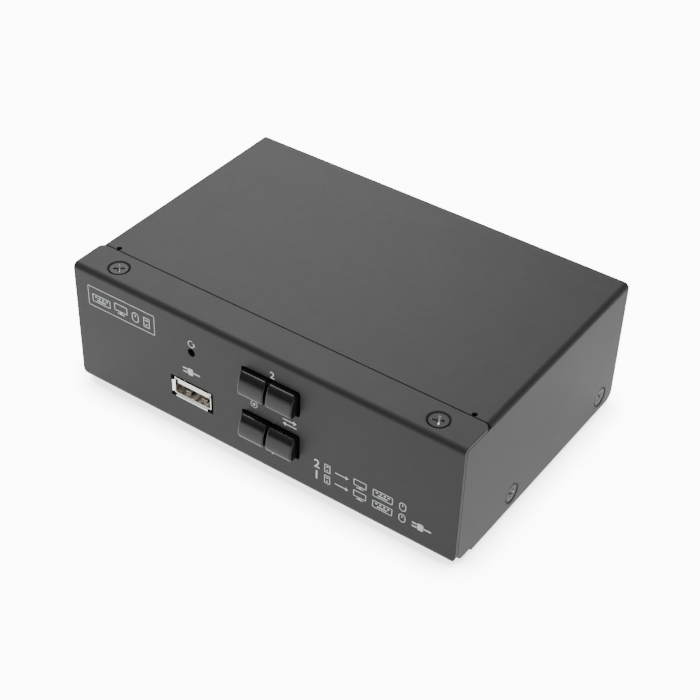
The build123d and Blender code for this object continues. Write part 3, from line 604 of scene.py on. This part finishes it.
def lobeProfile(look, face):
    # side view (y, z) of a lobe, from the back of its underside round to the back of its top
    half = look["height"] / 2
    centre = face + look["crownRadius"]

    def onFace(z):
        depth = math.sqrt(look["crownRadius"] ** 2 - (z + look["crownDrop"]) ** 2)
        return Vector((centre - depth, z))

    lowFace, topFace = onFace(look["lowRound"] - half), onFace(half - look["topRound"])
    lowCorner, topCorner = onFace(-half), onFace(half)
    back = face + look["rimFront"] + look["rimThick"] / 2
    lowStart = lowCorner + Vector((look["lowRound"], 0))
    topEnd = topCorner + Vector((look["topRound"], 0))
    points = [Vector((back, -half))]
    points += bendCorner(lowStart, lowCorner, lowFace, look["roundSteps"])
    for step in range(1, look["faceSteps"]):
        points.append(onFace(lowFace.y + (topFace.y - lowFace.y) * step / look["faceSteps"]))
    points += bendCorner(topFace, topCorner, topEnd, look["roundSteps"] // 2)
    points.append(Vector((back, half)))
    return points


def prismAlongX(profile, x0, x1, z):
    work = bmesh.new()
    ends = [[work.verts.new((x, point.x, point.y + z)) for point in profile] for x in (x0, x1)]
    count = len(profile)
    for index in range(count):
        follow = (index + 1) % count
        work.faces.new((ends[0][index], ends[0][follow], ends[1][follow], ends[1][index]))
    work.faces.new(ends[0])
    work.faces.new(list(reversed(ends[1])))
    bmesh.ops.recalc_face_normals(work, faces=work.faces)
    mesh = bpy.data.meshes.new("prism")
    work.to_mesh(mesh)
    work.free()
    return mesh


def blockMesh(low, high):
    corners = ((low.y, low.z), (high.y, low.z), (high.y, high.z), (low.y, high.z))
    return prismAlongX([Vector(corner) for corner in corners], low.x, high.x, 0)


def makeButton(name, node, body, look):
    low, high = nodeBox(node)
    x, z, face = (low.x + high.x) / 2, (low.z + high.z) / 2, low.y
    half, height = look["width"] / 2, look["height"] / 2
    rimFront = face + look["rimFront"]
    rimBack = rimFront + look["rimThick"]
    parts = []
    profile = lobeProfile(look, face)
    for x0, x1 in ((x - half, x - look["groove"] / 2), (x + look["groove"] / 2, x + half)):
        parts.append((prismAlongX(profile, x0, x1, z), look["endRound"]))
    blocks = (
        (look["groove"], face + look["grooveFloor"], rimBack, height - look["topRound"]),
        ((high.x - low.x) / 2, rimFront, rimBack, (high.z - low.z) / 2),
        (look["stemWidth"] / 2, rimFront, high.y, look["stemWidth"] / 2),
    )
    for reach, y0, y1, rise in blocks:
        block = blockMesh(Vector((x - reach, y0, z - rise)), Vector((x + reach, y1, z + rise)))
        parts.append((block, look["blockRound"]))
    meshes = []
    for mesh, width in parts:
        holder = newHolder("buttonPart", mesh)
        softenEdges(holder, width, look["endSteps"], look["sharpAngle"])
        meshes.append(plainMesh("buttonPart", holder))
    linkMesh(name, joinMeshes(name, meshes, materials["button_gloss"]), body, "button_gloss", node)


makeButton("selectButtonLow", "select_button_1", "select_1", buttonLook)
makeButton("selectButtonHigh", "select_button_2", "select_2", buttonLook)
print("select buttons made")


# Geometry Nodes trees for whatever repeats
def makeGrowTree(name, inputs):
    tree = bpy.data.node_groups.new(name, "GeometryNodeTree")
    tree.interface.new_socket("Geometry", in_out="INPUT", socket_type="NodeSocketGeometry")
    sockets = {}
    for label, kind in inputs.items():
        socket = tree.interface.new_socket(label, in_out="INPUT", socket_type=kind)
        sockets[label] = socket.identifier
    tree.interface.new_socket("Geometry", in_out="OUTPUT", socket_type="NodeSocketGeometry")
    return tree, addNode(tree, "NodeGroupInput").outputs, sockets


def joinInto(tree, node, socket, parts):
    for part in reversed(parts):
        tree.links.new(part, node.inputs[socket])
    return node.outputs[0]


def moved(tree, shape, z, turn=0.0, scale=None):
    shift = addNode(tree, "ShaderNodeCombineXYZ", {2: z}).outputs[0]
    values = {"Geometry": shape, "Translation": shift, "Rotation": (0, 0, turn)}
    if scale is not None:
        values["Scale"] = scale
    return addNode(tree, "GeometryNodeTransform", values).outputs[0]


def frustum(tree, count, top, bottom, depth, z):
    values = {"Vertices": count, "Radius Top": top, "Radius Bottom": bottom, "Depth": depth}
    return moved(tree, addNode(tree, "GeometryNodeMeshCone", values).outputs["Mesh"], z)


def standOnPoints(tree, given, shape, spin, wearAndGlint=None):
    # each point carries the way its copy faces; the copies are turned about that axis at random
    kind = "GeometryNodeInputNamedAttribute"
    facing = addNode(tree, kind, {"Name": "facing"}, data_type="FLOAT_VECTOR").outputs["Attribute"]
    aim = addNode(tree, "FunctionNodeAlignRotationToVector", {"Vector": facing}, axis="Z")
    chance = addNode(tree, "FunctionNodeRandomValue", {"Seed": given["Seed"]}, data_type="FLOAT")
    angle = calc(tree, "MULTIPLY", chance.outputs[1], spin)
    twist = addNode(tree, "ShaderNodeCombineXYZ", {2: angle}).outputs[0]
    turn = addNode(tree, "FunctionNodeEulerToRotation", {0: twist}).outputs[0]
    turnValues = {"Rotation": aim.outputs[0], "Rotate By": turn}
    turned = addNode(tree, "FunctionNodeRotateRotation", turnValues, rotation_space="LOCAL")
    points = addNode(tree, "GeometryNodeMeshToPoints", {"Mesh": given["Geometry"]}).outputs[0]
    values = {"Points": points, "Instance": shape, "Rotation": turned.outputs[0]}
    copies = addNode(tree, "GeometryNodeInstanceOnPoints", values).outputs[0]
    real = addNode(tree, "GeometryNodeRealizeInstances", {"Geometry": copies}).outputs[0]
    paintValues = {"Geometry": real, "Material": given["Material"]}
    painted = addNode(tree, "GeometryNodeSetMaterial", paintValues).outputs[0]
    # faces marked in the recess take the scuffed metal with its painted glints
    if wearAndGlint:
        marked = addNode(tree, kind, {"Name": "wearAndGlint"}, data_type="BOOLEAN").outputs["Attribute"]
        wornValues = {"Geometry": painted, "Material": given[wearAndGlint], "Selection": marked}
        painted = addNode(tree, "GeometryNodeSetMaterial", wornValues).outputs[0]
    addNode(tree, "NodeGroupOutput", {"Geometry": painted})


def grow(name, made, values, seats, paints):
    tree, sockets = made
    mesh = bpy.data.meshes.new(name + "Seats")
    mesh.from_pydata([place for place, facing in seats], [], [])
    facings = mesh.attributes.new("facing", "FLOAT_VECTOR", "POINT")
    for index, (place, facing) in enumerate(seats):
        facings.data[index].vector = facing
    holder = newHolder(name + "Seats", mesh)
    modifier = holder.modifiers.new("grow", "NODES")
    modifier.node_group = tree
    for label, value in {**values, **paints}.items():
        modifier[sockets[label]] = value
    grown = plainMesh(name, holder)
    for polygon in grown.polygons:
        polygon.use_smooth = False
    return grown


realKind, wholeKind, finishKind = "NodeSocketFloat", "NodeSocketInt", "NodeSocketMaterial"

screwLook = {
    "Head Radius": 2.75 * mm,
    "Head Rim": 0.12 * mm,
    "Head Bevel": 0.10 * mm,
    "Head Depth": 1.45 * mm,
    "Shank Radius": 1.4 * mm,
    "Shank Length": 4.2 * mm,
    "Recess Reach": 1.75 * mm,
    "Recess Root": 0.75 * mm,
    "Recess Width": 0.78 * mm,
    "Recess Depth": 1.25 * mm,
    "Seed": 4,
}
recessInput = "Recess Material"
headSides, shankSides = 48, 24
crossProud = 0.02 * mm  # how far the cutting cross stands out of the head
wearAndGlintFrom, wearAndGlintPast = 0.03 * mm, 1.02  # recess faces of scuffed bare metal with painted glints: depth they start at, share of the depth they reach


def makeScrewTree():
    kinds = {label: realKind for label in screwLook}
    kinds.update({"Seed": wholeKind, "Material": finishKind, recessInput: finishKind})
    tree, given, sockets = makeGrowTree("crossHeadScrews", kinds)
    radius, bevel, rim = given["Head Radius"], given["Head Bevel"], given["Head Rim"]
    bevelLow = calc(tree, "MULTIPLY", bevel, -1.0)
    rimLow = calc(tree, "SUBTRACT", bevelLow, rim)
    headLow = calc(tree, "SUBTRACT", rimLow, given["Head Depth"])
    shankLow = calc(tree, "SUBTRACT", headLow, given["Shank Length"])
    thin = given["Shank Radius"]
    crown = frustum(tree, headSides, calc(tree, "SUBTRACT", radius, bevel), radius, bevel, bevelLow)
    edge = frustum(tree, headSides, radius, radius, rim, rimLow)
    cone = frustum(tree, headSides, radius, thin, given["Head Depth"], headLow)
    shank = frustum(tree, shankSides, thin, thin, given["Shank Length"], shankLow)
    union = addNode(tree, "GeometryNodeMeshBoolean", operation="UNION", solver="EXACT")
    solid = joinInto(tree, union, "Mesh 2", [crown, edge, cone, shank])
    corner = math.sqrt(2)
    reach = calc(tree, "MULTIPLY", given["Recess Reach"], corner)
    root = calc(tree, "MULTIPLY", given["Recess Root"], corner)
    depth = given["Recess Depth"]
    squareValues = {"Vertices": 4, "Radius Top": reach, "Radius Bottom": root, "Depth": depth}
    square = addNode(tree, "GeometryNodeMeshCone", squareValues)
    upright = moved(tree, square.outputs["Mesh"], 0.0, math.pi / 4)
    span = calc(tree, "MULTIPLY", given["Recess Reach"], 2.0)
    slim = calc(tree, "DIVIDE", given["Recess Width"], span)
    proportion = addNode(tree, "ShaderNodeCombineXYZ", {0: 1.0, 1: slim, 2: 1.0}).outputs[0]
    sunk = calc(tree, "MULTIPLY_ADD", depth, -1.0, crossProud)
    wedge = moved(tree, upright, sunk, 0.0, proportion)
    across = moved(tree, wedge, 0.0, math.pi / 2)
    cutValues = {"Mesh 1": solid}
    cut = addNode(tree, "GeometryNodeMeshBoolean", cutValues, operation="DIFFERENCE", solver="EXACT")
    whole = joinInto(tree, cut, "Mesh 2", [wedge, across])
    # mark the recess faces, which take the scuffed metal with its painted glints
    spot = addNode(tree, "GeometryNodeInputPosition").outputs[0]
    parts = addNode(tree, "ShaderNodeSeparateXYZ", {0: spot}).outputs
    low = calc(tree, "LESS_THAN", parts["Z"], -wearAndGlintFrom)
    high = calc(tree, "GREATER_THAN", parts["Z"], calc(tree, "MULTIPLY", depth, -wearAndGlintPast))
    level = addNode(tree, "ShaderNodeCombineXYZ", {0: parts["X"], 1: parts["Y"]}).outputs[0]
    away = addNode(tree, "ShaderNodeVectorMath", {0: level}, operation="LENGTH").outputs["Value"]
    near = calc(tree, "LESS_THAN", away, given["Recess Reach"])
    inside = calc(tree, "MULTIPLY", calc(tree, "MULTIPLY", low, high), near)
    markValues = {"Geometry": whole, "Name": "wearAndGlint", "Value": inside}
    kind = "GeometryNodeStoreNamedAttribute"
    marked = addNode(tree, kind, markValues, data_type="BOOLEAN", domain="FACE")
    standOnPoints(tree, given, marked.outputs[0], math.pi, recessInput)
    return tree, sockets


def screwSeats():
    low, high = nodeBox("flange_screws")
    radius, middle = (high.y - low.y) / 2, (low.y + high.y) / 2
    ends = (low.x + radius, high.x - radius)
    flange = [(Vector((x, middle, high.z)), (0, 0, 1)) for x in ends]
    low, high = nodeBox("side_screws")
    radius, height = (high.z - low.z) / 2, (low.z + high.z) / 2
    sides = []
    for x, way in ((low.x, -1), (high.x, 1)):
        for y in (low.y + radius, high.y - radius):
            sides.append((Vector((x, y, height)), (way, 0, 0)))
    return flange, sides


screwTree = makeScrewTree()
screwPaints = {"Material": materials["screw_black"], recessInput: materials["recess_wear_and_glint"]}
screwRows = (("flangeScrews", "flange_screws"), ("sideScrews", "side_screws"))
for (name, node), seats in zip(screwRows, screwSeats()):
    grown = grow(name, screwTree, screwLook, seats, screwPaints)
    linkMesh(name, grown, "case", "screw_black", node)
print("screws grown")

footLook = {
    "Radius": 5.0 * mm,
    "Height": 2.0 * mm,
    "Rim": 0.5 * mm,
    "Dish Radius": 3.4 * mm,
    "Dish Depth": 0.25 * mm,
    "Seed": 1,
}
footSides, dishSides = 64, 48


def makeFootTree():
    kinds = {label: realKind for label in footLook}
    kinds.update({"Seed": wholeKind, "Material": finishKind})
    tree, given, sockets = makeGrowTree("stickOnFeet", kinds)
    radius, rim = given["Radius"], given["Rim"]
    tall = calc(tree, "SUBTRACT", given["Height"], rim)
    body = frustum(tree, footSides, radius, radius, tall, 0.0)
    edge = frustum(tree, footSides, calc(tree, "SUBTRACT", radius, rim), radius, rim, tall)
    union = addNode(tree, "GeometryNodeMeshBoolean", operation="UNION", solver="EXACT")
    solid = joinInto(tree, union, "Mesh 2", [body, edge])
    dishLow = calc(tree, "SUBTRACT", given["Height"], given["Dish Depth"])
    inner = given["Dish Radius"]
    dish = frustum(tree, dishSides, inner, inner, given["Height"], dishLow)
    cutValues = {"Mesh 1": solid}
    cut = addNode(tree, "GeometryNodeMeshBoolean", cutValues, operation="DIFFERENCE", solver="EXACT")
    standOnPoints(tree, given, joinInto(tree, cut, "Mesh 2", [dish]), 0.0)
    return tree, sockets


def cornerSeats(node, inset, height, facing):
    low, high = nodeBox(node)
    across = (low.x + inset[0], high.x - inset[0])
    along = (low.y + inset[1], high.y - inset[1])
    return [(Vector((x, y, height)), facing) for x in across for y in along]


downward = (0, 0, -1)
footInset = (footLook["Radius"], footLook["Radius"])
footSeats = cornerSeats("rubber_feet", footInset, underFace, downward)
footPaint = {"Material": materials["foot_rubber"]}
grown = grow("stickOnFeet", makeFootTree(), footLook, footSeats, footPaint)
linkMesh("stickOnFeet", grown, "case", "foot_rubber", "rubber_feet")

# heads of the standoffs, pressed into the base and painted over with it
pressLook = {
    "Radius": 2.5 * mm,
    "Height": 0.10 * mm,
    "Rim": 0.05 * mm,
    "Dish Radius": 1.45 * mm,
    "Dish Depth": 0.06 * mm,
    "Seed": 1,
}
standoffInset = (2.89 * mm, 2.5 * mm)  # from the node's box to the middle of a standoff
pressSeats = cornerSeats("board_standoffs", standoffInset, underFace, downward)
pressPaint = {"Material": materials["case_paint"]}
grown = grow("pressedHeads", makeFootTree(), pressLook, pressSeats, pressPaint)
linkMesh("pressedHeads", grown, "case", "case_paint")
print("feet and pressed heads grown")

# printed marks: x across, z up, in millimetres from the middle of the case and from the table
printLook = {
    "lift": 0.02 * mm,
    "bold": 0.018,  # share of the type size
    "arcSteps": 6,
    "turnSteps": 30,
    "line": 0.27,
    "turnLine": 1.2,  # share of the line
    "headShare": 1.5,  # of the turn's line, to each side of it
    "tipShare": 0.7,  # of an arrow's height, or of a turn's gap
    "leastRound": 0.01,
    "numberDepth": 0.01,
}

# each sign is drawn from its own lower left corner:
# kind, across, up, width, height, then its rounding, an arrow's shaft or a turn's gap in degrees
signs = {
    "screen": [
        ("ring", 0.0, 0.75, 4.2, 2.25, 0.3),
        ("bar", 1.8, 0.34, 0.6, 0.41, 0.0),
        ("bar", 1.0, 0.0, 2.2, 0.34, 0.1),
    ],
    "keyboard": [
        ("ring", 0.0, 0.2, 6.4, 2.6, 0.4),
        ("bar", 0.95, 1.70, 0.7, 0.5, 0.1),
        ("bar", 2.22, 1.70, 0.7, 0.5, 0.1),
        ("bar", 3.48, 1.70, 0.7, 0.5, 0.1),
        ("bar", 4.75, 1.70, 0.7, 0.5, 0.1),
        ("bar", 1.6, 0.85, 3.2, 0.42, 0.1),
    ],
    "mouse": [
        ("ring", 0.0, 0.0, 2.2, 3.0, 1.05),
        ("bar", 0.95, 1.6, 0.3, 0.8, 0.1),
    ],
    "tower": [
        ("ring", 0.0, 0.0, 2.0, 3.0, 0.2),
        ("bar", 0.55, 1.95, 0.9, 0.38, 0.05),
        ("bar", 0.75, 0.6, 0.5, 0.5, 0.2),
    ],
    "plug": [
        ("bar", 1.7, 0.2, 1.9, 2.4, 0.5),
        ("bar", 0.0, 0.55, 1.55, 0.5, 0.1),
        ("bar", 0.0, 1.75, 1.55, 0.5, 0.1),
        ("bar", 3.75, 1.15, 2.3, 0.55, 0.1),
    ],
    "arrow": [("arrow", 0.0, 0.8, 4.4, 1.4, 0.36)],
    "arrowBack": [("arrow", 4.4, 0.8, -4.4, 1.4, 0.36)],
    "turnBack": [("turn", 0.0, 0.0, 3.0, 3.0, 70)],
    "lamp": [("ring", 0.0, 0.0, 3.0, 3.0, 1.45), ("bar", 0.95, 0.95, 1.1, 1.1, 0.5)],
}

# sign, across, up and size
frontSigns = [
    ("keyboard", -58.6, 31.9, 1.05),
    ("screen", -50.4, 31.9, 1.15),
    ("mouse", -43.9, 31.8, 1.15),
    ("tower", -39.7, 31.8, 1.15),
    ("turnBack", -23.9, 32.3, 0.90),
    ("plug", -25.9, 22.1, 1.0),
    ("lamp", -2.1, 22.2, 0.78),
    ("arrow", 8.8, 21.9, 1.05),
    ("arrowBack", 8.8, 20.4, 1.05),
    ("tower", 22.8, 11.9, 1.0),
    ("arrow", 26.4, 11.9, 1.0),
    ("screen", 32.4, 11.9, 1.0),
    ("keyboard", 38.6, 11.9, 1.0),
    ("mouse", 47.0, 11.9, 1.0),
    ("tower", 22.8, 7.9, 1.0),
    ("arrow", 26.4, 7.9, 1.0),
    ("screen", 32.4, 7.9, 1.0),
    ("keyboard", 38.6, 7.9, 1.0),
    ("mouse", 47.0, 7.9, 1.0),
    ("plug", 51.2, 7.9, 1.0),
]
frontNumbers = [
    ("2", 5.3, 35.5, 2.3),
    ("1", 5.3, 8.6, 2.1),
    ("2", 20.3, 11.9, 3.0),
    ("1", 20.3, 7.9, 3.0),
]
emblemFrame = ("ring", -60.2, 30.3, 24.6, 6.9, 0.5)


def roundedBox(x, z, width, height, bend):
    points = []
    corners = ((x + width, z + height, 0), (x, z + height, 1), (x, z, 2), (x + width, z, 3))
    for cornerX, cornerZ, quarter in corners:
        middleX = cornerX - bend if quarter in (0, 3) else cornerX + bend
        middleZ = cornerZ - bend if quarter in (0, 1) else cornerZ + bend
        for step in range(printLook["arcSteps"] + 1):
            angle = math.pi / 2 * (quarter + step / printLook["arcSteps"])
            points.append((middleX + bend * math.cos(angle), middleZ + bend * math.sin(angle)))
    return points


def arrowOutline(x, z, width, height, shaft):
    neck = x + width - math.copysign(height * printLook["tipShare"], width)
    middle = z + height / 2
    points = [(x, middle - shaft / 2), (neck, middle - shaft / 2), (neck, z), (x + width, middle)]
    points += [(neck, z + height), (neck, middle + shaft / 2), (x, middle + shaft / 2)]
    return points


def turnOutline(x, z, size, line, gap):
    # an open ring that ends in an arrow head
    middle, radius, head = size / 2, size / 2 - line, line * printLook["headShare"]
    steps = printLook["turnSteps"]
    angles = [math.radians(gap + (360 - gap) * step / steps) for step in range(steps + 1)]
    rims = [(radius + line / 2, angle) for angle in angles]
    last, tip = angles[-1], angles[-1] + math.radians(gap * printLook["tipShare"])
    rims += [(radius + head, last), (radius, tip), (radius - head, last)]
    rims += [(radius - line / 2, angle) for angle in reversed(angles)]
    points = []
    for far, angle in rims:
        points.append((x + middle + far * math.cos(angle), z + middle + far * math.sin(angle)))
    return points


def shapeOutlines(kind, x, z, width, height, extra):
    line = printLook["line"]
    if kind == "arrow":
        return [arrowOutline(x, z, width, height, extra)]
    if kind == "turn":
        return [turnOutline(x, z, width, line * printLook["turnLine"], extra)]
    outlines = [roundedBox(x, z, width, height, extra)]
    if kind == "ring":
        inner = max(extra - line, printLook["leastRound"])
        outlines.append(roundedBox(x + line, z + line, width - 2 * line, height - 2 * line, inner))
    return outlines


def flatShapes(name, outlines):
    # filled outlines; a second outline inside the first leaves a hole
    curve = bpy.data.curves.new(name, "CURVE")
    curve.dimensions = "2D"
    curve.fill_mode = "BOTH"
    curve.extrude = printLook["lift"] / mm / 2
    for outline in outlines:
        spline = curve.splines.new("POLY")
        spline.points.add(len(outline) - 1)
        for point, (x, z) in zip(spline.points, outline):
            point.co = (x, z, 0, 1)
        spline.use_cyclic_u = True
    return plainMesh(name, newHolder(name, curve))


def flatSigns(name, placed, extras=()):
    outlines = []
    for shape in extras:
        outlines += shapeOutlines(*shape)
    for sign, across, up, size in placed:
        for shape in signs[sign]:
            for outline in shapeOutlines(*shape):
                outlines.append([(across + x * size, up + z * size) for x, z in outline])
    return flatShapes(name, outlines)


def flatNumber(number, across, up, height, bold):
    curve = bpy.data.curves.new("number", "FONT")
    curve.body = number
    curve.offset = bold
    curve.extrude = printLook["numberDepth"]
    mesh = plainMesh("number", newHolder("number", curve))
    xs = [vertex.co.x for vertex in mesh.vertices]
    zs = [vertex.co.y for vertex in mesh.vertices]
    middle, size = (min(xs) + max(xs)) / 2, height / (max(zs) - min(zs))
    for vertex in mesh.vertices:
        x, z = (vertex.co.x - middle) * size + across, (vertex.co.y - min(zs)) * size + up
        vertex.co = (x, z, vertex.co.z / curve.extrude * printLook["lift"] / mm / 2)
    return mesh


def printOn(name, meshes, turn, face):
    joined = joinMeshes(name, meshes, materials["panel_print"])
    joined.transform(Matrix.Translation((0, face, 0)) @ turn @ Matrix.Scale(mm, 4))
    linkMesh(name, joined, "case", None)


frontTurn = Matrix(((1, 0, 0, 0), (0, 0, -1, 0), (0, 1, 0, 0), (0, 0, 0, 1)))
marks = [flatNumber(*entry, printLook["bold"]) for entry in frontNumbers]
marks.append(flatSigns("frontSigns", frontSigns, [emblemFrame]))
printOn("frontPrint", marks, frontTurn, frontFace - printLook["lift"] / 2)

# rear marks: across runs the other way, as seen from behind
rearSigns = [
    ("plug", -57.7, 24.0, 1.0),
    ("screen", -32.6, 20.2, 1.0),
    ("keyboard", -18.9, 29.4, 1.0),
    ("mouse", -11.3, 29.4, 1.0),
    ("tower", 3.7, 22.8, 0.9),
    ("screen", 19.0, 20.2, 1.0),
    ("tower", 36.3, 22.8, 0.9),
    ("screen", 51.6, 20.2, 1.0),
]
rearNumbers = [
    ("1", 1.6, 22.8, 2.7),
    ("1", 17.0, 20.2, 2.7),
    ("2", 34.0, 22.8, 2.7),
    ("2", 49.3, 20.2, 2.7),
]
rearTurn = Matrix(((-1, 0, 0, 0), (0, 0, 1, 0), (0, 1, 0, 0), (0, 0, 0, 1)))
rearFace = trayHigh.y
marks = [flatNumber(*entry, printLook["bold"]) for entry in rearNumbers]
marks.append(flatSigns("rearSigns", rearSigns))
printOn("rearPrint", marks, rearTurn, rearFace + printLook["lift"] / 2)
print("front and rear print made")
